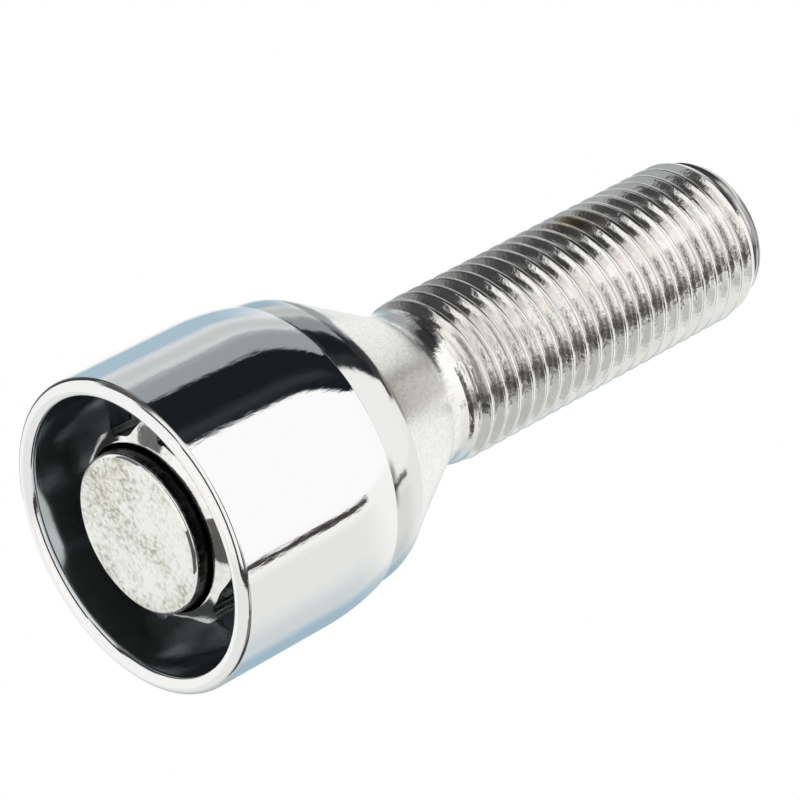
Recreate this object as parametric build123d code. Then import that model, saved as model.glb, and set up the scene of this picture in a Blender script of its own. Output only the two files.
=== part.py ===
"""Locking wheel bolt: a forged bolt with a lobed key collar and a 60 degree cone seat,
a free-spinning round sleeve over the collar, and the spring ring that keeps the sleeve on.

Millimetres. The bolt stands on its head: Z = 0 is the front of the sleeve's lip, +Z runs
along the bolt's axis towards the threaded tip. The fine thread is left off the shank.
"""
from build123d import *

import math
import os

# Sleeve, a drawn tube with a rolled lip, free to spin on the bolt's journal
SLEEVE_D = 25.4
SLEEVE_WALL = 1.55
SLEEVE_LENGTH = 15.9
SLEEVE_TAPER_LENGTH = 3.8
SLEEVE_TAPER_DEPTH = 0.5
SLEEVE_REAR_EDGE = 0.12
SLEEVE_BEARING_WALL = 2.64
SLEEVE_BEARING_LENGTH = 4.4
BEARING_CLEARANCE = 0.06
END_PLAY = 0.12

# Post in the middle of the head, with the narrow groove round it
POST_D = 13.0
POST_RECESS = 0.9
POST_EDGE = 0.15
GROOVE_WIDTH = 0.35
GROOVE_DEPTH = 3.0

# Lobed collar that the key fits over
COLLAR_RECESS = 2.33
COLLAR_LIP_WIDTH = 0.2
COLLAR_FACE_ANGLE = 20.0
COLLAR_LENGTH = 6.8
COLLAR_ROOT_STEP = 0.25
OUTLINE_ARC = 5.0

# Each lobe: where it starts and ends in degrees about +Z, the widths of its two
# flanks in degrees, and how far it stands out from the collar's root
LOBES = (
    (-150.0, -124.0, 12.0, 3.0, 0.45),
    (-110.0, -83.0, 15.0, 3.0, 1.50),
    (-84.0, 36.0, 3.0, 4.0, 0.30),
    (-86.0, -42.0, 3.0, 8.0, 0.28),
    (-72.0, 20.0, 14.0, 22.0, 0.80),
    (-26.0, -2.0, 8.0, 8.0, 0.30),
    (33.0, 60.0, 3.0, 16.0, 0.98),
    (76.0, 112.0, 12.0, 12.0, 1.05),
    (136.0, 166.0, 9.0, 9.0, 1.40),
)

# Spring ring in its groove round the journal behind the collar
RING_THICKNESS = 1.1
RING_GROOVE_DEPTH = 0.6
RING_OVERLAP = 0.8
RING_GAP_ANGLE = 24.0
RING_GROOVE_PLAY = 0.03

# Flange, cone seat, neck and shank
FLANGE_FRONT_STEP = 0.35
FLANGE_REAR_STEP = 0.7
FLANGE_LENGTH = 3.05
FLANGE_CROWN = 0.06
FLANGE_EDGE_RADIUS = 0.5
SEAT_INCLUDED_ANGLE = 60.0
NECK_D = 12.9
NECK_LENGTH = 1.2
NECK_FILLET_RADIUS = 3.0
THREAD_D = 13.9
THREAD_RUNOUT = 2.0
TIP_D = 11.7
TIP_CHAMFER_LENGTH = 2.0
BOLT_TIP_Z = 63.0

# Two heights nearer than this are the same height
SAME_HEIGHT = 0.01

# Radii and heights that follow from the sizes above
SLEEVE_R = SLEEVE_D / 2
BORE_R = SLEEVE_R - SLEEVE_WALL
SLEEVE_REAR_R = SLEEVE_R - SLEEVE_TAPER_DEPTH
BEARING_R = SLEEVE_R - SLEEVE_BEARING_WALL
JOURNAL_R = BEARING_R - BEARING_CLEARANCE
RING_BORE_R = JOURNAL_R - RING_GROOVE_DEPTH
RING_R = JOURNAL_R + RING_OVERLAP
FLANGE_FRONT_R = SLEEVE_REAR_R - FLANGE_FRONT_STEP
FLANGE_REAR_R = SLEEVE_REAR_R - FLANGE_REAR_STEP
SHOULDER_Z = SLEEVE_LENGTH - SLEEVE_BEARING_LENGTH
RING_REAR_Z = SHOULDER_Z - END_PLAY / 2
RING_FRONT_Z = RING_REAR_Z - RING_THICKNESS
COLLAR_BACK_Z = COLLAR_RECESS + COLLAR_LENGTH
FLANGE_Z = SLEEVE_LENGTH + END_PLAY / 2
FLANGE_REAR_Z = FLANGE_Z + FLANGE_LENGTH
SEAT_SLOPE = math.tan(math.radians(SEAT_INCLUDED_ANGLE / 2))
SEAT_LENGTH = (FLANGE_REAR_R - NECK_D / 2) / SEAT_SLOPE
NECK_Z = FLANGE_REAR_Z + SEAT_LENGTH
THREAD_Z = NECK_Z + NECK_LENGTH
GROOVE_R = POST_D / 2 + GROOVE_WIDTH
LIP_R = GROOVE_R + COLLAR_LIP_WIDTH
COLLAR_ROOT_R = LIP_R + COLLAR_ROOT_STEP


def at(radius, height):
    """A point of a half section, in the plane that holds the Z axis."""
    return (radius, 0, height)


def turned(outline):
    """The solid that a closed half section sweeps about the Z axis."""
    return revolve(make_face(outline), Axis.Z)


def ring_of(inner_r, outer_r, low_z, high_z):
    """A plain round ring, or a cylinder where inner_r is 0."""
    outline = Polyline(
        at(inner_r, low_z), at(outer_r, low_z), at(outer_r, high_z), at(inner_r, high_z), close=True
    )
    return turned(outline)


def round_edges(solid, height):
    """The solid's circular edges that lie at one height."""
    circles = solid.edges().filter_by(GeomType.CIRCLE)
    return [edge for edge in circles if abs(edge.center().Z - height) < SAME_HEIGHT]


def smooth_step(share):
    """0 to 1 with flat ends, for share 0 to 1."""
    held = min(max(share, 0.0), 1.0)
    return held * held * (3 - 2 * held)


def collar_radius(angle):
    """The lobed collar's radius at an angle in degrees: its root, plus each lobe over it."""
    radius = COLLAR_ROOT_R
    for start, end, rise, fall, reach in LOBES:
        turn = (angle - start) % 360
        width = (end - start) % 360
        radius += reach * smooth_step(turn / rise) * smooth_step((width - turn) / fall)
    return radius


def collar_point(angle):
    """The point of the collar's outline at an angle in degrees."""
    radius = collar_radius(angle)
    turn = math.radians(angle)
    return (radius * math.cos(turn), radius * math.sin(turn), COLLAR_RECESS)


def lobed_collar():
    """The coded collar: a lobed prism whose front falls away as a cone from its lip."""
    arcs = round(360 / OUTLINE_ARC)
    outline = []
    for arc in range(arcs):
        start = 360 * arc / arcs
        middle = start + 180 / arcs
        end = start + 360 / arcs
        outline.append(ThreePointArc(collar_point(start), collar_point(middle), collar_point(end)))
    prism = extrude(make_face(outline), COLLAR_LENGTH, dir=(0, 0, 1))
    fall = math.tan(math.radians(COLLAR_FACE_ANGLE))
    past = JOURNAL_R - LIP_R
    cone_front = Polyline(
        at(0, COLLAR_RECESS),
        at(LIP_R, COLLAR_RECESS),
        at(JOURNAL_R, COLLAR_RECESS + past * fall),
        at(JOURNAL_R, COLLAR_BACK_Z),
        at(0, COLLAR_BACK_Z),
        close=True,
    )
    return prism & turned(cone_front)


def turned_blank():
    """Journal, flange, cone seat, neck and shank, before the collar and the grooves."""
    crown_r = (FLANGE_FRONT_R + FLANGE_REAR_R) / 2 + FLANGE_CROWN
    outline = Polyline(
        at(FLANGE_REAR_R, FLANGE_REAR_Z),
        at(NECK_D / 2, NECK_Z),
        at(NECK_D / 2, THREAD_Z),
        at(THREAD_D / 2, THREAD_Z + THREAD_RUNOUT),
        at(THREAD_D / 2, BOLT_TIP_Z - TIP_CHAMFER_LENGTH),
        at(TIP_D / 2, BOLT_TIP_Z),
        at(0, BOLT_TIP_Z),
        at(0, COLLAR_BACK_Z),
        at(JOURNAL_R, COLLAR_BACK_Z),
        at(JOURNAL_R, FLANGE_Z),
        at(FLANGE_FRONT_R, FLANGE_Z),
    )
    crown = ThreePointArc(
        at(FLANGE_FRONT_R, FLANGE_Z),
        at(crown_r, (FLANGE_Z + FLANGE_REAR_Z) / 2),
        at(FLANGE_REAR_R, FLANGE_REAR_Z),
    )
    blank = revolve(make_face(outline + crown), Axis.Z)
    blank = fillet(round_edges(blank, FLANGE_REAR_Z), FLANGE_EDGE_RADIUS)
    return fillet(round_edges(blank, NECK_Z), NECK_FILLET_RADIUS)


def post():
    """The round post that stands proud of the collar, with a broken edge."""
    body = ring_of(0, POST_D / 2, POST_RECESS, COLLAR_BACK_Z)
    return chamfer(round_edges(body, POST_RECESS), POST_EDGE)


def bolt():
    """The forged bolt in one piece, with the groove round its post and the ring's groove."""
    body = turned_blank() + lobed_collar()
    body -= ring_of(0, GROOVE_R, COLLAR_RECESS, COLLAR_RECESS + GROOVE_DEPTH)
    body += post()
    groove_front = RING_FRONT_Z - RING_GROOVE_PLAY
    groove_back = RING_REAR_Z + RING_GROOVE_PLAY
    body -= ring_of(RING_BORE_R, BORE_R, groove_front, groove_back)
    return body


def spinning_sleeve():
    """The chromed sleeve: rolled lip, straight wall, tapered end and inner bearing."""
    lip_r = (SLEEVE_R - BORE_R) / 2
    lip_centre_r = (SLEEVE_R + BORE_R) / 2
    taper_z = SLEEVE_LENGTH - SLEEVE_TAPER_LENGTH
    lip = ThreePointArc(at(BORE_R, lip_r), at(lip_centre_r, 0), at(SLEEVE_R, lip_r))
    wall = Line(at(SLEEVE_R, lip_r), at(SLEEVE_R, taper_z))
    taper = TangentArc(at(SLEEVE_R, taper_z), at(SLEEVE_REAR_R, SLEEVE_LENGTH), tangent=(0, 0, 1))
    inside = Polyline(
        at(SLEEVE_REAR_R, SLEEVE_LENGTH),
        at(BEARING_R, SLEEVE_LENGTH),
        at(BEARING_R, SHOULDER_Z),
        at(BORE_R, SHOULDER_Z),
        at(BORE_R, lip_r),
    )
    body = revolve(make_face(lip + wall + taper + inside), Axis.Z)
    outer_edge = max(round_edges(body, SLEEVE_LENGTH), key=lambda edge: edge.radius)
    return chamfer(outer_edge, SLEEVE_REAR_EDGE)


def retaining_ring():
    """The split spring ring that is snapped into the journal's groove."""
    hoop = ring_of(RING_BORE_R, RING_R, RING_FRONT_Z, RING_REAR_Z)
    past = 2 * RING_R
    half_width = past * math.tan(math.radians(RING_GAP_ANGLE / 2))
    gap = Polyline(
        (0, 0, RING_FRONT_Z),
        (past, half_width, RING_FRONT_Z),
        (past, -half_width, RING_FRONT_Z),
        close=True,
    )
    return hoop - extrude(make_face(gap), RING_THICKNESS, dir=(0, 0, 1))


os.makedirs("parts", exist_ok=True)
export_step(bolt(), "parts/bolt.step")
export_step(spinning_sleeve(), "parts/spinning_sleeve.step")
export_step(retaining_ring(), "parts/retaining_ring.step")
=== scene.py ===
import math

import bmesh
import bpy
from mathutils import Matrix, Vector


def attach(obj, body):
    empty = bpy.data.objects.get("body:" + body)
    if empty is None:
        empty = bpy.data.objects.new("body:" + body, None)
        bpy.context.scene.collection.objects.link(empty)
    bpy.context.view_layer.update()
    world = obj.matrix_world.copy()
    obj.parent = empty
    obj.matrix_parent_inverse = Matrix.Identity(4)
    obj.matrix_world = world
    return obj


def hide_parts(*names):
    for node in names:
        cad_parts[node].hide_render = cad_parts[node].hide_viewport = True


# Locking wheel bolt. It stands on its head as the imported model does: +Z runs from the
# lip of the spinning sleeve to the threaded tip. Sizes are in millimetres, and MM turns
# them into the metres of the scene.
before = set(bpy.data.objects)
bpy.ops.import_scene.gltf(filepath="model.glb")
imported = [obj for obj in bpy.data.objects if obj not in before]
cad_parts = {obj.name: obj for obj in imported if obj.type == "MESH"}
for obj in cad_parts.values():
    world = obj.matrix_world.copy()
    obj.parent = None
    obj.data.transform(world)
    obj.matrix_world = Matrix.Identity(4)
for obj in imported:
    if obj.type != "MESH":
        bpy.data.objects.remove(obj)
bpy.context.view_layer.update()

# Forged bolt: one piece of quenched steel with a bright zinc plating. Its coded collar,
# post and journal are carried over from the model, its flange, cone seat and neck are
# turned, and its thread is rolled on as a real right-hand helix of 1.5 mm pitch.
MM = 0.001
WELD = 0.0001
NEAR = 0.02
SAME_HEIGHT = 0.001
TURN_STEPS = 192
BOLT_SHARP_ANGLE = 24
POST_R = 6.5
POST_FACE_Z = 0.9
POST_ROUND = 0.36
POST_ROUND_STEPS = 6
POST_CUT_Z = 1.3
POST_SEAM = 0.01
GROOVE_R = 6.85
GROOVE_MOUTH_Z = 2.5
GROOVE_FLOOR_Z = 5.33
JOURNAL_R = 10.0
JOURNAL_CUT_Z = 15.9
FLANGE_Z = 15.96
FLANGE_R = 11.84
FLANGE_EDGE = 0.12
FLANGE_EDGE_STEPS = 2
FLANGE_LAND_R = 11.825
FLANGE_LAND_Z = 17.0
FLANGE_REAR_R = 11.277
FLANGE_REAR_Z = 19.5
FLANGE_SWEEP = 2.55
FLANGE_STEPS = 12
FLANGE_SHADE_Z = 19.3
SEAT_R = 10.0
SEAT_Z = 21.53
SEAT_HALF_ANGLE = 30
NECK_R = 6.45
NECK_FILLET = 2.7
NECK_FILLET_STEPS = 4
NECK_SHADE_Z = 28.0
NECK_END_Z = 28.93
THREAD_Z = 28.957
THREAD_STEPS = 96
THREAD_PITCH = 1.5
THREAD_CREST_R = 6.9
THREAD_ROOT_R = 6.05
THREAD_FIRST_CREST_Z = 26.714
THREAD_RIDGES = 25
THREAD_RUNOUT = 2.0
THREAD_WELD = 0.002
FLANK_ANGLE = 60
CREST_ROUND = 0.24
CREST_STEPS = 6
CREST_FLAT = 0.018
ROOT_ROUND = 0.2
ROOT_STEPS = 4
ROOT_FLAT = 0.0075
TIP_Z = 62.85
TIP_R = 5.95
TIP_ROUNDING = 2.8
TIP_SWEEP = 1.7
TIP_EDGE = 0.15
TIP_SHADE_Z = 61.6


def arc(centre, radius, start, end, steps):
    """Points of a round part of a half section, as radius and height, angles in degrees."""
    turns = [math.radians(start + (end - start) * step / steps) for step in range(steps + 1)]
    return [
        (centre[0] + radius * math.cos(turn), centre[1] + radius * math.sin(turn))
        for turn in turns
    ]


def bowed(start, end, sweep, steps):
    """Points of a wall that bends in more and more from one radius and height to another."""
    shares = [step / steps for step in range(steps + 1)]
    return [
        (
            start[0] + (end[0] - start[0]) * share ** sweep,
            start[1] + (end[1] - start[1]) * share,
        )
        for share in shares
    ]


def chain(mesh, outline):
    """A chain of edges through the radii and heights of an outline."""
    verts = [mesh.verts.new((radius * MM, 0, height * MM)) for radius, height in outline]
    return verts + [mesh.edges.new(pair) for pair in zip(verts, verts[1:])]


def turned(mesh, outline, steps):
    """Turns an outline once round the axis."""
    bmesh.ops.spin(
        mesh,
        geom=chain(mesh, outline),
        cent=(0, 0, 0),
        axis=(0, 0, 1),
        angle=math.tau,
        steps=steps,
        use_merge=True,
    )


def cut_at(mesh, height, drop_above=False, drop_below=False):
    """Cuts the mesh square to the axis, and drops what lies on one side if asked."""
    bmesh.ops.bisect_plane(
        mesh,
        geom=mesh.verts[:] + mesh.edges[:] + mesh.faces[:],
        plane_co=(0, 0, height * MM),
        plane_no=(0, 0, 1),
        clear_outer=drop_above,
        clear_inner=drop_below,
    )


def mouth_edges(mesh, height):
    """The open edges that lie at one height."""
    return [
        edge
        for edge in mesh.edges
        if edge.is_boundary
        and all(abs(vert.co.z / MM - height) < SAME_HEIGHT for vert in edge.verts)
    ]


def joined(mesh, low, high):
    """Closes the gap between two open rims."""
    bmesh.ops.bridge_loops(mesh, edges=mouth_edges(mesh, low) + mouth_edges(mesh, high))


def soften(mesh, sharp_angle):
    """Smooth shading, with the edges that turn further than the angle left sharp."""
    limit = math.radians(sharp_angle)
    for face in mesh.faces:
        face.smooth = True
    for edge in mesh.edges:
        edge.smooth = not edge.is_manifold or edge.calc_face_angle(0) < limit


def head_mesh():
    """Collar, post and journal, copied from the model and cut off behind the journal."""
    mesh = bmesh.new()
    mesh.from_mesh(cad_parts["bolt"].data)
    bmesh.ops.remove_doubles(mesh, verts=mesh.verts, dist=WELD * MM)
    cut_at(mesh, JOURNAL_CUT_Z, drop_above=True)
    return mesh


def round_post(mesh):
    """Takes the post's end off and turns it on again with a rounder edge."""
    cut_at(mesh, POST_CUT_Z)
    post_end = []
    for face in mesh.faces:
        middle = face.calc_center_median() / MM
        if middle.xy.length < POST_R + NEAR and middle.z < POST_CUT_Z:
            post_end.append(face)
    bmesh.ops.delete(mesh, geom=post_end, context="FACES")
    edge_centre = (POST_R - POST_ROUND, POST_FACE_Z + POST_ROUND)
    outline = [(POST_R, POST_CUT_Z - POST_SEAM)]
    outline += arc(edge_centre, POST_ROUND, 0, -90, POST_ROUND_STEPS)
    outline.append((0, POST_FACE_Z))
    turned(mesh, outline, TURN_STEPS)
    bmesh.ops.remove_doubles(mesh, verts=mesh.verts, dist=WELD * MM)
    joined(mesh, POST_CUT_Z - POST_SEAM, POST_CUT_Z)


def add_flange(mesh):
    """Turns the flange, the cone seat and the neck on behind the journal."""
    edge_centre = (FLANGE_R - FLANGE_EDGE, FLANGE_Z + FLANGE_EDGE)
    land_end = (FLANGE_LAND_R, FLANGE_LAND_Z)
    rim_end = (FLANGE_REAR_R, FLANGE_REAR_Z)
    half_angle = math.radians(SEAT_HALF_ANGLE)
    cone_end_z = SEAT_Z + (SEAT_R - NECK_R) / math.tan(half_angle)
    fillet_z = cone_end_z + NECK_FILLET * math.tan(half_angle / 2)
    outline = [(JOURNAL_R, FLANGE_Z)]
    outline += arc(edge_centre, FLANGE_EDGE, -90, 0, FLANGE_EDGE_STEPS)
    outline += bowed(land_end, rim_end, FLANGE_SWEEP, FLANGE_STEPS)
    outline.append((SEAT_R, SEAT_Z))
    outline += arc(
        (NECK_R + NECK_FILLET, fillet_z),
        NECK_FILLET,
        180 + SEAT_HALF_ANGLE,
        180,
        NECK_FILLET_STEPS,
    )
    outline.append((NECK_R, NECK_END_Z))
    turned(mesh, outline, TURN_STEPS)


def ridge_outline():
    """One ridge of the thread about its crest: rounded roots, straight flanks, round crest."""
    flank = math.radians(FLANK_ANGLE)
    rounds = CREST_ROUND + ROOT_ROUND
    flank_depth = THREAD_CREST_R - THREAD_ROOT_R - rounds * (1 - math.cos(flank))
    root_z = -rounds * math.sin(flank) - flank_depth / math.tan(flank)
    root_centre = (THREAD_ROOT_R + ROOT_ROUND, root_z)
    crest_centre = (THREAD_CREST_R - CREST_ROUND, 0)
    half = [(THREAD_ROOT_R, ROOT_FLAT - THREAD_PITCH / 2)]
    half += arc(root_centre, ROOT_ROUND, 180, 180 - FLANK_ANGLE, ROOT_STEPS)[1:]
    half += arc(crest_centre, CREST_ROUND, -FLANK_ANGLE, 0, CREST_STEPS)[:-1]
    half.append((THREAD_CREST_R, -CREST_FLAT))
    return half + [(radius, -height) for radius, height in reversed(half)]


def thread_limits(height):
    """Lowest and highest radius of the thread at a height: its run-out and its rounded tip."""
    run = min(max((height - THREAD_Z) / THREAD_RUNOUT, 0), 1)
    past = min(max((height - TIP_Z + TIP_ROUNDING) / TIP_ROUNDING, 0), 1)
    lowest = NECK_R + (THREAD_ROOT_R - NECK_R) * run
    highest = NECK_R + (THREAD_CREST_R - NECK_R) * run
    rounded = THREAD_CREST_R - (THREAD_CREST_R - TIP_R) * past ** TIP_SWEEP
    return lowest, min(highest, rounded)


def add_thread(mesh):
    """Rolls the thread: all its ridges in one line, wound up by one turn, ends trimmed."""
    thread = bmesh.new()
    outline = [
        (radius, THREAD_FIRST_CREST_Z + ridge * THREAD_PITCH + height)
        for ridge in range(THREAD_RIDGES)
        for radius, height in ridge_outline()
    ]
    bmesh.ops.spin(
        thread,
        geom=chain(thread, outline),
        cent=(0, 0, 0),
        axis=(0, 0, 1),
        dvec=(0, 0, THREAD_PITCH * MM / THREAD_STEPS),
        angle=math.tau,
        steps=THREAD_STEPS,
    )
    bmesh.ops.remove_doubles(thread, verts=thread.verts, dist=THREAD_WELD * MM)
    cut_at(thread, THREAD_Z, drop_below=True)
    cut_at(thread, TIP_Z, drop_above=True)
    for vert in thread.verts:
        radius = vert.co.xy.length / MM
        lowest, highest = thread_limits(vert.co.z / MM)
        vert.co.xy *= min(max(radius, lowest), highest) / radius
    tip = bmesh.ops.holes_fill(thread, edges=mouth_edges(thread, TIP_Z))["faces"]
    for face in tip:
        face.normal_update()
        if face.normal.z < 0:
            face.normal_flip()
    edge = TIP_EDGE * MM
    bmesh.ops.inset_region(thread, faces=tip, thickness=2 * edge, depth=edge)
    wound = bpy.data.meshes.new("wound_thread")
    thread.to_mesh(wound)
    thread.free()
    mesh.from_mesh(wound)
    bpy.data.meshes.remove(wound)


def object_of(mesh, name, materials):
    """The object that a bmesh becomes, in the scene and with its materials."""
    data = bpy.data.meshes.new(name)
    mesh.to_mesh(data)
    mesh.free()
    for material in materials:
        data.materials.append(material)
    piece = bpy.data.objects.new(name, data)
    bpy.context.scene.collection.objects.link(piece)
    return piece


def metal(name, roughness):
    """A metal finish, with its node tree and its shader."""
    material = bpy.data.materials.new(name)
    material.use_nodes = True
    tree = material.node_tree
    shader = tree.nodes["Principled BSDF"]
    shader.inputs["Metallic"].default_value = 1
    shader.inputs["Roughness"].default_value = roughness
    return material, tree, shader


def grain(tree, cycles, detail, stretch=(1, 1, 1)):
    """Cloudy noise over the piece, in cycles a metre, stretched along the axes."""
    place = tree.nodes.new("ShaderNodeTexCoord")
    mapping = tree.nodes.new("ShaderNodeMapping")
    mapping.inputs["Scale"].default_value = stretch
    noise = tree.nodes.new("ShaderNodeTexNoise")
    noise.inputs["Scale"].default_value = cycles
    noise.inputs["Detail"].default_value = detail
    tree.links.new(place.outputs["Object"], mapping.inputs["Vector"])
    tree.links.new(mapping.outputs["Vector"], noise.inputs["Vector"])
    return noise.outputs["Fac"]


def toned(tree, shader, level, stops):
    """Gives a shader its colour from a ramp of shades over a level from 0 to 1."""
    ramp = tree.nodes.new("ShaderNodeValToRGB")
    points = ramp.color_ramp.elements
    while len(points) < len(stops):
        points.new(0.5)
    for point, (place, colour) in zip(points, stops):
        point.position = place
        point.color = (*colour, 1)
    tree.links.new(level, ramp.inputs["Fac"])
    tree.links.new(ramp.outputs["Color"], shader.inputs["Base Color"])
    return ramp.outputs["Color"]


def ranged(tree, value, edges, levels=(0, 1)):
    """A value between two edges, spread between two levels."""
    node = tree.nodes.new("ShaderNodeMapRange")
    node.inputs["From Min"].default_value = edges[0]
    node.inputs["From Max"].default_value = edges[1]
    node.inputs["To Min"].default_value = levels[0]
    node.inputs["To Max"].default_value = levels[1]
    tree.links.new(value, node.inputs["Value"])
    return node.outputs["Result"]


def maths(tree, operation, first, second):
    """A maths node between two sockets or numbers."""
    node = tree.nodes.new("ShaderNodeMath")
    node.operation = operation
    for socket, value in zip(node.inputs, (first, second)):
        if isinstance(value, (int, float)):
            socket.default_value = value
        else:
            tree.links.new(value, socket)
    return node.outputs["Value"]


def overlaid(tree, level, under, over):
    """One colour laid over another by a level."""
    node = tree.nodes.new("ShaderNodeMix")
    node.data_type = "RGBA"
    tree.links.new(level, node.inputs["Factor"])
    for socket, value in ((node.inputs[6], under), (node.inputs[7], over)):
        if isinstance(value, tuple):
            socket.default_value = (*value, 1)
        else:
            tree.links.new(value, socket)
    return node.outputs[2]


def dented(tree, shader, height, depth):
    """Bump of a real depth."""
    bump = tree.nodes.new("ShaderNodeBump")
    bump.inputs["Strength"].default_value = 1
    bump.inputs["Distance"].default_value = depth * MM
    tree.links.new(height, bump.inputs["Height"])
    tree.links.new(bump.outputs["Normal"], shader.inputs["Normal"])


POST_FROST = 0.7
POST_CLOUD_SHARE = 0.45
POST_DENT = 0.012
POST_SHADES = (
    (0.37, (0.5, 0.49, 0.42)),
    (0.48, (0.86, 0.86, 0.8)),
    (0.57, (1.0, 1.0, 0.98)),
)


def post_finish():
    """The post's forged face: frosted pale zinc with warm clouds and fine specks."""
    material, tree, shader = metal("post_zinc", roughness=0.42)
    shader.inputs["Metallic"].default_value = POST_FROST
    clouds = maths(tree, "MULTIPLY", grain(tree, cycles=300, detail=3), POST_CLOUD_SHARE)
    specks = maths(tree, "MULTIPLY", grain(tree, cycles=2600, detail=12), 1 - POST_CLOUD_SHARE)
    toned(tree, shader, maths(tree, "ADD", clouds, specks), POST_SHADES)
    dented(tree, shader, grain(tree, cycles=5200, detail=5), POST_DENT)
    return material


TIP_STRETCH = (0.15, 0.15, 2)
TIP_SHADES = (
    (0.36, (0.12, 0.12, 0.13)),
    (0.6, (0.85, 0.85, 0.84)),
)


def tip_finish():
    """The rounded tip, coloured in dark and bright rings round the axis."""
    material, tree, shader = metal("tip_zinc", roughness=0.2)
    toned(tree, shader, grain(tree, cycles=1600, detail=4, stretch=TIP_STRETCH), TIP_SHADES)
    return material


# Painted shade: near-black tones that stand for the shade down the narrow groove round the
# post.
GROOVE_PAINTED_SHADES = (
    (0.3, (0.015, 0.015, 0.016)),
    (0.7, (0.06, 0.058, 0.056)),
)


def groove_painted_shade_finish():
    """The deep groove round the post and the post's side above its rounded edge: near black,
    painted shade.
    """
    material, tree, shader = metal("groove_painted_shade", roughness=0.3)
    toned(tree, shader, grain(tree, cycles=900, detail=4), GROOVE_PAINTED_SHADES)
    return material


COLLAR_DENT = 0.011
COLLAR_SHADES = (
    (0.34, (0.86, 0.86, 0.84)),
    (0.6, (1.0, 1.0, 0.98)),
)


def collar_finish():
    """The collar and the post's rounded edge: zinc on forged steel, bright with a fine speckle.
    """
    material, tree, shader = metal("collar_zinc", roughness=0.1)
    toned(tree, shader, grain(tree, cycles=1400, detail=9), COLLAR_SHADES)
    dented(tree, shader, grain(tree, cycles=4200, detail=5), COLLAR_DENT)
    return material


FLANGE_TONE = (0.84, 0.84, 0.83)
FLANGE_DENT = 0.008


def flange_finish():
    """The flange's rim: bright zinc, a little wavy."""
    material, tree, shader = metal("flange_zinc", roughness=0.1)
    shader.inputs["Base Color"].default_value = (*FLANGE_TONE, 1)
    dented(tree, shader, grain(tree, cycles=1500, detail=6), FLANGE_DENT)
    return material


SEAT_BRUSH = (1, 1, 0.14)
SEAT_DENT = 0.011
SEAT_SHADES = (
    (0.34, (0.86, 0.865, 0.84)),
    (0.64, (1.0, 1.0, 0.98)),
)


def seat_finish():
    """The cone seat: turned steel, pale and softly brushed along the bolt."""
    material, tree, shader = metal("seat_zinc", roughness=0.22)
    brushed = grain(tree, cycles=4200, detail=6, stretch=SEAT_BRUSH)
    toned(tree, shader, brushed, SEAT_SHADES)
    dented(tree, shader, brushed, SEAT_DENT)
    return material


THREAD_DENT = 0.024
THREAD_SHADES = (
    (0.3, (0.9, 0.87, 0.84)),
    (0.65, (1.0, 0.99, 0.97)),
)
STAIN_PLACE = Vector((-1.3, -6.2, 48.3))
STAIN_REACH = 2.6
STAIN_CORE = 0.78
STAIN_TONE = (0.46, 0.38, 0.24)
STAIN_PATCHES = (0.2, 1.5)


def thread_finish():
    """The rolled thread and the neck: hazy bright zinc, dimpled, with one brown stain."""
    material, tree, shader = metal("thread_zinc", roughness=0.11)
    zinc = toned(tree, shader, grain(tree, cycles=500, detail=8), THREAD_SHADES)
    place = tree.nodes.new("ShaderNodeTexCoord")
    apart = tree.nodes.new("ShaderNodeVectorMath")
    apart.operation = "DISTANCE"
    apart.inputs[1].default_value = STAIN_PLACE * MM
    tree.links.new(place.outputs["Object"], apart.inputs[0])
    worn = ranged(tree, apart.outputs["Value"], (STAIN_REACH * MM, STAIN_CORE * MM))
    patches = ranged(tree, grain(tree, cycles=900, detail=6), (0, 1), STAIN_PATCHES)
    stained = overlaid(tree, maths(tree, "MULTIPLY", worn, patches), zinc, STAIN_TONE)
    tree.links.new(stained, shader.inputs["Base Color"])
    dented(tree, shader, grain(tree, cycles=2600, detail=6), THREAD_DENT)
    return material


POST, COLLAR, FLANGE, SEAT, THREAD, GROOVE, TIP = range(7)


def finish_at(across, height):
    """Which of the bolt's finishes a face has, by its radius and height."""
    # Painted shade: the post's side above its rounded edge and the groove's walls take the
    # near-black groove finish.
    beside_post = across < POST_R + NEAR and height > POST_CUT_Z - POST_SEAM
    beside_collar = across < GROOVE_R + NEAR and height > GROOVE_MOUTH_Z
    if height < POST_FACE_Z + NEAR:
        return POST
    if height < GROOVE_FLOOR_Z + NEAR and (beside_post or beside_collar):
        return GROOVE
    if height < JOURNAL_CUT_Z:
        return COLLAR
    if height < FLANGE_SHADE_Z:
        return FLANGE
    if height < NECK_SHADE_Z:
        return SEAT
    if height < TIP_SHADE_Z:
        return THREAD
    return TIP


bolt_mesh = head_mesh()
round_post(bolt_mesh)
cut_at(bolt_mesh, GROOVE_MOUTH_Z)
add_flange(bolt_mesh)
add_thread(bolt_mesh)
joined(bolt_mesh, JOURNAL_CUT_Z, FLANGE_Z)
joined(bolt_mesh, NECK_END_Z, THREAD_Z)
bmesh.ops.recalc_face_normals(bolt_mesh, faces=bolt_mesh.faces)
soften(bolt_mesh, BOLT_SHARP_ANGLE)
for face in bolt_mesh.faces:
    middle = face.calc_center_median() / MM
    face.material_index = finish_at(middle.xy.length, middle.z)
bolt_finishes = (
    post_finish(),
    collar_finish(),
    flange_finish(),
    seat_finish(),
    thread_finish(),
    groove_painted_shade_finish(),
    tip_finish(),
)
bolt = object_of(bolt_mesh, "forged_bolt", bolt_finishes)
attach(bolt, "bolt")
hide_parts("bolt")
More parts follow.
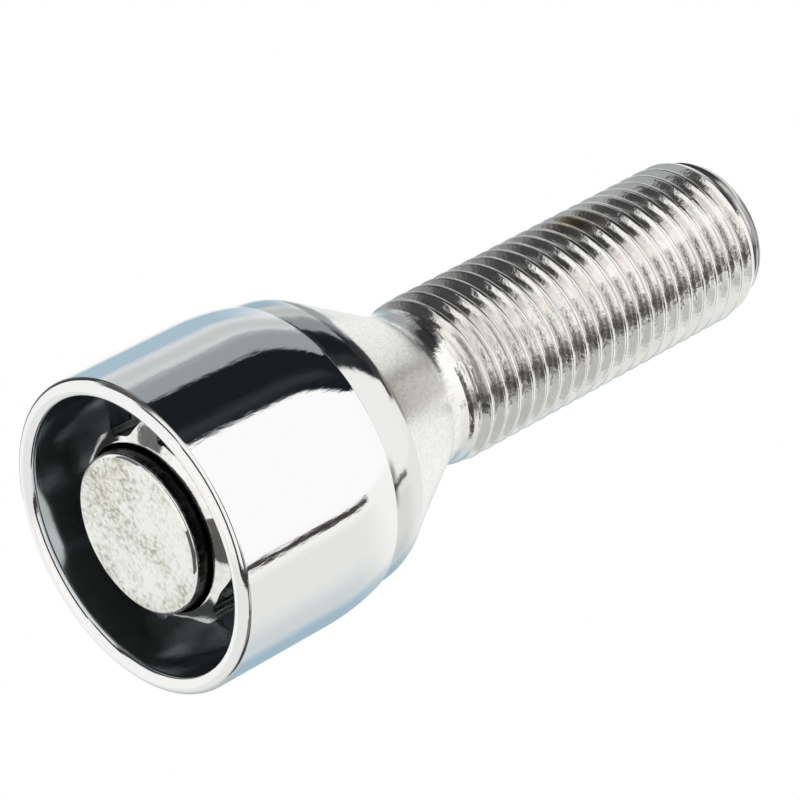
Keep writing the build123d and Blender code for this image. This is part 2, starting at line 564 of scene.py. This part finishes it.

# Spinning sleeve: a drawn steel cap ring in mirror chrome that turns freely on the
# journal, so pliers can't grip the bolt. Its bore is toned a darker, duller steel.
SLEEVE_R = 12.7
BORE_R = 11.15
BEARING_R = 10.06
SHOULDER_Z = 11.5
SLEEVE_LENGTH = 15.9
SLEEVE_REAR_R = 12.2
REAR_EDGE = 0.12
REAR_EDGE_START = 15
REAR_EDGE_STEPS = 5
TAPER_Z = 10.9
TAPER_SWEEP = 2.4
TAPER_STEPS = 24
LIP_LIFT = 0.003
LIP_STEPS = 28
SLEEVE_STEPS = 256
SLEEVE_SHARP_ANGLE = 30
CHROME_EDGES = (11.16, 11.3)
CHROME_DENT = 0.008
CHROME_STRETCH = (1, 1, 0.25)
SLEEVE_ROUGHNESS = (0.14, 0.02)
SLEEVE_METALLIC = (0.97, 1.0)
SLEEVE_SHADES = (
    (0.0, (0.54, 0.58, 0.6)),
    (1.0, (0.96, 0.96, 0.96)),
)


def sleeve_mesh():
    """The sleeve's half section, turned about the axis: lip, wall, taper, bearing and bore."""
    lip_r = (SLEEVE_R - BORE_R) / 2
    rear_z = SLEEVE_LENGTH - REAR_EDGE
    edge_centre = (SLEEVE_REAR_R - REAR_EDGE, rear_z)
    outline = arc((BORE_R + lip_r, lip_r + LIP_LIFT), lip_r, 180, 360, LIP_STEPS)
    outline += bowed((SLEEVE_R, TAPER_Z), (SLEEVE_REAR_R, rear_z), TAPER_SWEEP, TAPER_STEPS)
    outline += arc(edge_centre, REAR_EDGE, REAR_EDGE_START, 90, REAR_EDGE_STEPS)
    outline += [(BEARING_R, SLEEVE_LENGTH), (BEARING_R, SHOULDER_Z), (BORE_R, SHOULDER_Z)]
    mesh = bmesh.new()
    turned(mesh, outline + outline[:1], SLEEVE_STEPS)
    bmesh.ops.remove_doubles(mesh, verts=mesh.verts, dist=WELD * MM)
    bmesh.ops.recalc_face_normals(mesh, faces=mesh.faces)
    soften(mesh, SLEEVE_SHARP_ANGLE)
    return mesh


def sleeve_finish():
    """A darker, duller steel tone in the bore, then mirror chrome round the lip and outside."""
    material, tree, shader = metal("sleeve_chrome", roughness=0.02)
    place = tree.nodes.new("ShaderNodeTexCoord")
    flat = tree.nodes.new("ShaderNodeVectorMath")
    flat.operation = "MULTIPLY"
    flat.inputs[1].default_value = (1, 1, 0)
    radius = tree.nodes.new("ShaderNodeVectorMath")
    radius.operation = "LENGTH"
    tree.links.new(place.outputs["Object"], flat.inputs[0])
    tree.links.new(flat.outputs["Vector"], radius.inputs[0])
    chrome = ranged(tree, radius.outputs["Value"], [edge * MM for edge in CHROME_EDGES])
    toned(tree, shader, chrome, SLEEVE_SHADES)
    roughness = ranged(tree, chrome, (0, 1), SLEEVE_ROUGHNESS)
    metallic = ranged(tree, chrome, (0, 1), SLEEVE_METALLIC)
    tree.links.new(roughness, shader.inputs["Roughness"])
    tree.links.new(metallic, shader.inputs["Metallic"])
    waves = grain(tree, cycles=2200, detail=6, stretch=CHROME_STRETCH)
    dented(tree, shader, waves, CHROME_DENT)
    return material


sleeve = object_of(sleeve_mesh(), "chrome_sleeve", [sleeve_finish()])
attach(sleeve, "sleeve")
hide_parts("spinning_sleeve")

# Retaining ring: a split ring of hard blued spring wire, snapped into the journal's
# groove, which the sleeve's inner shoulder stops against.
RING_SHADES = (
    (0.35, (0.14, 0.15, 0.17)),
    (0.65, (0.26, 0.27, 0.29)),
)


def ring_finish():
    """Blued spring steel with a faint oily cloud."""
    material, tree, shader = metal("blued_spring_steel", roughness=0.3)
    toned(tree, shader, grain(tree, cycles=700, detail=5), RING_SHADES)
    return material


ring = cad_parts["retaining_ring"]
ring.data.materials.clear()
ring.data.materials.append(ring_finish())

# Floor: a plain pale sheet that only the camera sees, and only from above, so that the
# photograph's view from below the bolt's head stays open.
FLOOR_SIZE = 1600
FLOOR_TONE = (0.9, 0.9, 0.9)
FLOOR_ROUGHNESS = 0.9


def floor_finish():
    """Matt pale paint on the upper side, and nothing at all from below."""
    material = bpy.data.materials.new("pale_floor")
    material.use_nodes = True
    tree = material.node_tree
    paint = tree.nodes["Principled BSDF"]
    paint.inputs["Base Color"].default_value = (*FLOOR_TONE, 1)
    paint.inputs["Roughness"].default_value = FLOOR_ROUGHNESS
    side = tree.nodes.new("ShaderNodeNewGeometry")
    clear = tree.nodes.new("ShaderNodeBsdfTransparent")
    one_sided = tree.nodes.new("ShaderNodeMixShader")
    tree.links.new(side.outputs["Backfacing"], one_sided.inputs["Fac"])
    tree.links.new(paint.outputs["BSDF"], one_sided.inputs[1])
    tree.links.new(clear.outputs["BSDF"], one_sided.inputs[2])
    tree.links.new(one_sided.outputs["Shader"], tree.nodes["Material Output"].inputs["Surface"])
    return material


floor_mesh = bmesh.new()
bmesh.ops.create_grid(floor_mesh, x_segments=1, y_segments=1, size=FLOOR_SIZE / 2 * MM)
floor = object_of(floor_mesh, "floor", [floor_finish()])
floor.visible_diffuse = False
floor.visible_glossy = False
floor.visible_transmission = False
floor.visible_shadow = False

# Studio: a white tent with black and grey cards far round the object, which the chrome
# mirrors. The camera sees only white.
TENT = (0.92, 0.92, 0.91)
LEAN_START = 0.53
# Each card has its first and last bearing in degrees round the bolt, from +X towards -Y,
# its lowest and highest direction as the upright part of a length of 1, its colour, the
# softness of its sides and of its ends, and how far its sides lean.
CARDS = (
    ("left_wall", -130, -22, -1.0, 0.68, (0.8, 0.81, 0.79), 4, 0.1, 0),
    ("left_shade", -132, -66, -0.2, 0.62, (0.62, 0.67, 0.68), 16, 0.08, 0),
    ("sky_left", -130, -94, 0.36, 0.64, (0.36, 0.49, 0.58), 9, 0.1, 0),
    ("sky_right", 166, 190, 0.36, 0.68, (0.4, 0.53, 0.62), 6, 0.1, 0),
    ("sky_behind", -190, -160, 0.36, 0.68, (0.4, 0.53, 0.62), 6, 0.1, 0),
    ("front_wall", -9, 77, -0.2, 0.98, (1.0, 1.0, 1.0), 4, 0.2, 0),
    ("grey_wall", 110, 143, 0.3, 0.93, (0.31, 0.335, 0.35), 3.5, 0.05, 0),
    ("pale_wall", 142, 164, 0.3, 0.93, (0.57, 0.58, 0.585), 9, 0.05, 0),
    ("low_front", -26, 4, -0.05, 0.42, (0.33, 0.33, 0.33), 8, 0.08, 0),
    ("belt", -58, 190, -0.01, 0.16, (0.04, 0.035, 0.03), 8, 0.02, 0),
    ("belt_behind", -190, -155, -0.01, 0.16, (0.1, 0.1, 0.1), 8, 0.02, 0),
    ("belt_gap", 46, 102, -0.02, 0.17, (0.7, 0.68, 0.66), 14, 0.015, 0),
    ("black_drape", 78, 120.5, 0.2, 0.93, (0.011, 0.013, 0.015), 1.8, 0.02, -34),
    ("drape_fold", 82, 90, 0.2, 0.8, (0.03, 0.034, 0.036), 4, 0.1, 0),
    ("pole", -16, -11, 0.2, 0.66, (0.06, 0.05, 0.05), 0.8, 0.02, 0),
    ("pole_foot", -22, -8, -0.72, 0.2, (0.05, 0.045, 0.045), 3, 0.05, 0),
    ("low_rail", -22, 84, -0.72, -0.5, (0.04, 0.04, 0.042), 3, 0.02, 0),
    ("low_rail_end", 84, 124, -0.6, -0.38, (0.04, 0.04, 0.042), 5, 0.03, 0),
    ("far_corner", 108, 152, -0.34, 0.32, (0.09, 0.09, 0.09), 6, 0.04, 0),
    ("boom", 44, 150, 0.9, 0.986, (0.05, 0.05, 0.055), 6, 0.012, 0),
    ("lamp_gap", -190, 190, 0.987, 2.0, (0.27, 0.245, 0.22), 1, 0.005, 0),
    ("low_glow", -190, 190, -2.0, -0.94, (1.0, 0.965, 0.94), 1, 0.02, 0),
)
world = bpy.data.worlds.new("studio")
world.use_nodes = True
bpy.context.scene.world = world
sky = world.node_tree
sky.nodes.clear()


def past(value, edge, softness):
    """0 below an edge and 1 above it, with a soft change between."""
    node = sky.nodes.new("ShaderNodeMapRange")
    node.interpolation_type = "SMOOTHSTEP"
    node.inputs["From Min"].default_value = edge - softness
    node.inputs["From Max"].default_value = edge + softness
    sky.links.new(value, node.inputs["Value"])
    return node.outputs["Result"]


def between(value, low, high, softness):
    """1 between two edges, falling softly to 0 past them."""
    below = maths(sky, "SUBTRACT", 1.0, past(value, high, softness))
    return maths(sky, "MULTIPLY", past(value, low, softness), below)


def leant(value, height, lean):
    """A bearing that shifts with the height above the start of the lean."""
    climb = maths(sky, "MAXIMUM", maths(sky, "SUBTRACT", height, LEAN_START), 0.0)
    return maths(sky, "SUBTRACT", value, maths(sky, "MULTIPLY", climb, lean))


direction = sky.nodes.new("ShaderNodeTexCoord")
parts = sky.nodes.new("ShaderNodeSeparateXYZ")
sky.links.new(direction.outputs["Generated"], parts.inputs["Vector"])
upright = parts.outputs["Z"]
turned_back = maths(sky, "MULTIPLY", parts.outputs["Y"], -1.0)
turn = maths(sky, "ARCTAN2", turned_back, parts.outputs["X"])
bearing = maths(sky, "MULTIPLY", turn, math.degrees(1))
surround = TENT
for card, start, end, low, high, colour, side_blur, end_blur, lean in CARDS:
    sideways = leant(bearing, upright, lean) if lean else bearing
    across = between(sideways, start, end, side_blur)
    along = between(upright, low, high, end_blur)
    surround = overlaid(sky, maths(sky, "MULTIPLY", across, along), surround, colour)
ray = sky.nodes.new("ShaderNodeLightPath")
seen = overlaid(sky, ray.outputs["Is Camera Ray"], surround, (1.0, 1.0, 1.0))
background = sky.nodes.new("ShaderNodeBackground")
sky.links.new(seen, background.inputs["Color"])
out = sky.nodes.new("ShaderNodeOutputWorld")
sky.links.new(background.outputs["Background"], out.inputs["Surface"])
bpy.context.scene.view_settings.view_transform = "Standard"

# Reflector cards: glowing sheets near the bolt, cut from cones and rings round its axis,
# that only mirror surfaces see: painted reflections. They stand in for the dark things
# that thread, flange, neck and mouth show, and for a few grey and white ones.
CARD_STEPS = 24
# Each sheet has its first and last bearing, its inner and outer radius and height, and
# its colour.
SHEETS = (
    ("dark_card", 120, 151, (14.5, 0.2), (150, 78), (0.05, 0.05, 0.052)),
    ("dark_wing", 92, 120, (37.5, 13.4), (150, 78), (0.04, 0.04, 0.04)),
    ("dusk_card", 151, 159, (14.5, 0.2), (150, 78), (0.1, 0.1, 0.1)),
    ("grey_card", 159, 172, (14.5, 0.2), (150, 78), (0.24, 0.24, 0.24)),
    ("pale_card", 172, 196, (14.5, 0.2), (150, 78), (0.38, 0.38, 0.38)),
    ("foot_card", -46, -27, (14.5, 0.2), (34, 11.4), (0.05, 0.05, 0.05)),
    ("foot_card_shade", -27, -10, (14.5, 0.2), (34, 11.4), (0.2, 0.185, 0.175)),
    ("side_card", -92, -46, (14.5, 0.2), (48, 19.4), (0.5, 0.52, 0.49)),
    ("neck_card_white", 44, 61, (25, 38.5), (25, 56), (1.0, 0.99, 0.97)),
    ("neck_card_black", 77, 108, (25, 38.5), (25, 56), (0.035, 0.035, 0.037)),
    ("neck_card_dark", 108, 122, (25, 38.5), (25, 56), (0.2, 0.205, 0.21)),
    ("neck_card_grey", 122, 170, (25, 38.5), (25, 56), (0.38, 0.4, 0.41)),
    ("mouth_card_front", -8, 28, (6.0, 0.2), (8.4, 0.2), (0.1, 0.095, 0.09)),
    ("mouth_card_back", 92, 118, (6.4, 0.2), (8.8, 0.2), (0.14, 0.14, 0.14)),
    ("mouth_card_far", 140, 178, (7.4, 0.2), (11.0, 0.2), (0.02, 0.02, 0.024)),
    ("mouth_card_low", -102, -48, (7.2, 0.2), (11.0, 0.2), (0.04, 0.045, 0.045)),
)


def card_mesh(start, end, inner, outer):
    """A sheet from an inner to an outer ring, cut as a slice of a cone round the axis."""
    mesh = bmesh.new()
    line = chain(mesh, (inner, outer))
    to_start = Matrix.Rotation(-math.radians(start), 3, "Z")
    bmesh.ops.rotate(mesh, verts=mesh.verts, cent=(0, 0, 0), matrix=to_start)
    bmesh.ops.spin(
        mesh,
        geom=line,
        cent=(0, 0, 0),
        axis=(0, 0, -1),
        angle=math.radians(end - start),
        steps=CARD_STEPS,
    )
    return mesh


def card_paint(name, colour):
    """An even glow of one colour, which paints a reflection."""
    material = bpy.data.materials.new(name)
    material.use_nodes = True
    tree = material.node_tree
    glow = tree.nodes.new("ShaderNodeEmission")
    glow.inputs["Color"].default_value = (*colour, 1)
    tree.links.new(glow.outputs["Emission"], tree.nodes["Material Output"].inputs["Surface"])
    return material


for name, start, end, inner, outer, colour in SHEETS:
    sheet = object_of(card_mesh(start, end, inner, outer), name, [card_paint(name, colour)])
    sheet.visible_camera = False
    sheet.visible_diffuse = False
    sheet.visible_transmission = False
    sheet.visible_shadow = False

# Camera: a long lens that looks at the bolt's head from below and from one side, as the
# photograph does.
CAMERA_PLACE = Vector((205.818, -187.205, -172.957))
CAMERA_RIGHT = Vector((0.6985, 0.0, 0.7156))
CAMERA_BACK = Vector((0.5993, -0.5464, -0.5851))
CAMERA_LENS = 200.47
CAMERA_FILM = 36.0
camera_data = bpy.data.cameras.new("camera")
camera_data.sensor_fit = "AUTO"
camera_data.sensor_width = CAMERA_FILM
camera_data.lens = CAMERA_LENS
camera_data.clip_start = 0.01
camera_data.clip_end = 10
camera = bpy.data.objects.new("camera", camera_data)
bpy.context.scene.collection.objects.link(camera)
back = CAMERA_BACK.normalized()
right = (CAMERA_RIGHT - CAMERA_RIGHT.dot(back) * back).normalized()
aim = Matrix((right, back.cross(right), back)).transposed()
camera.matrix_world = Matrix.Translation(CAMERA_PLACE * MM) @ aim.to_4x4()
bpy.context.scene.camera = camera
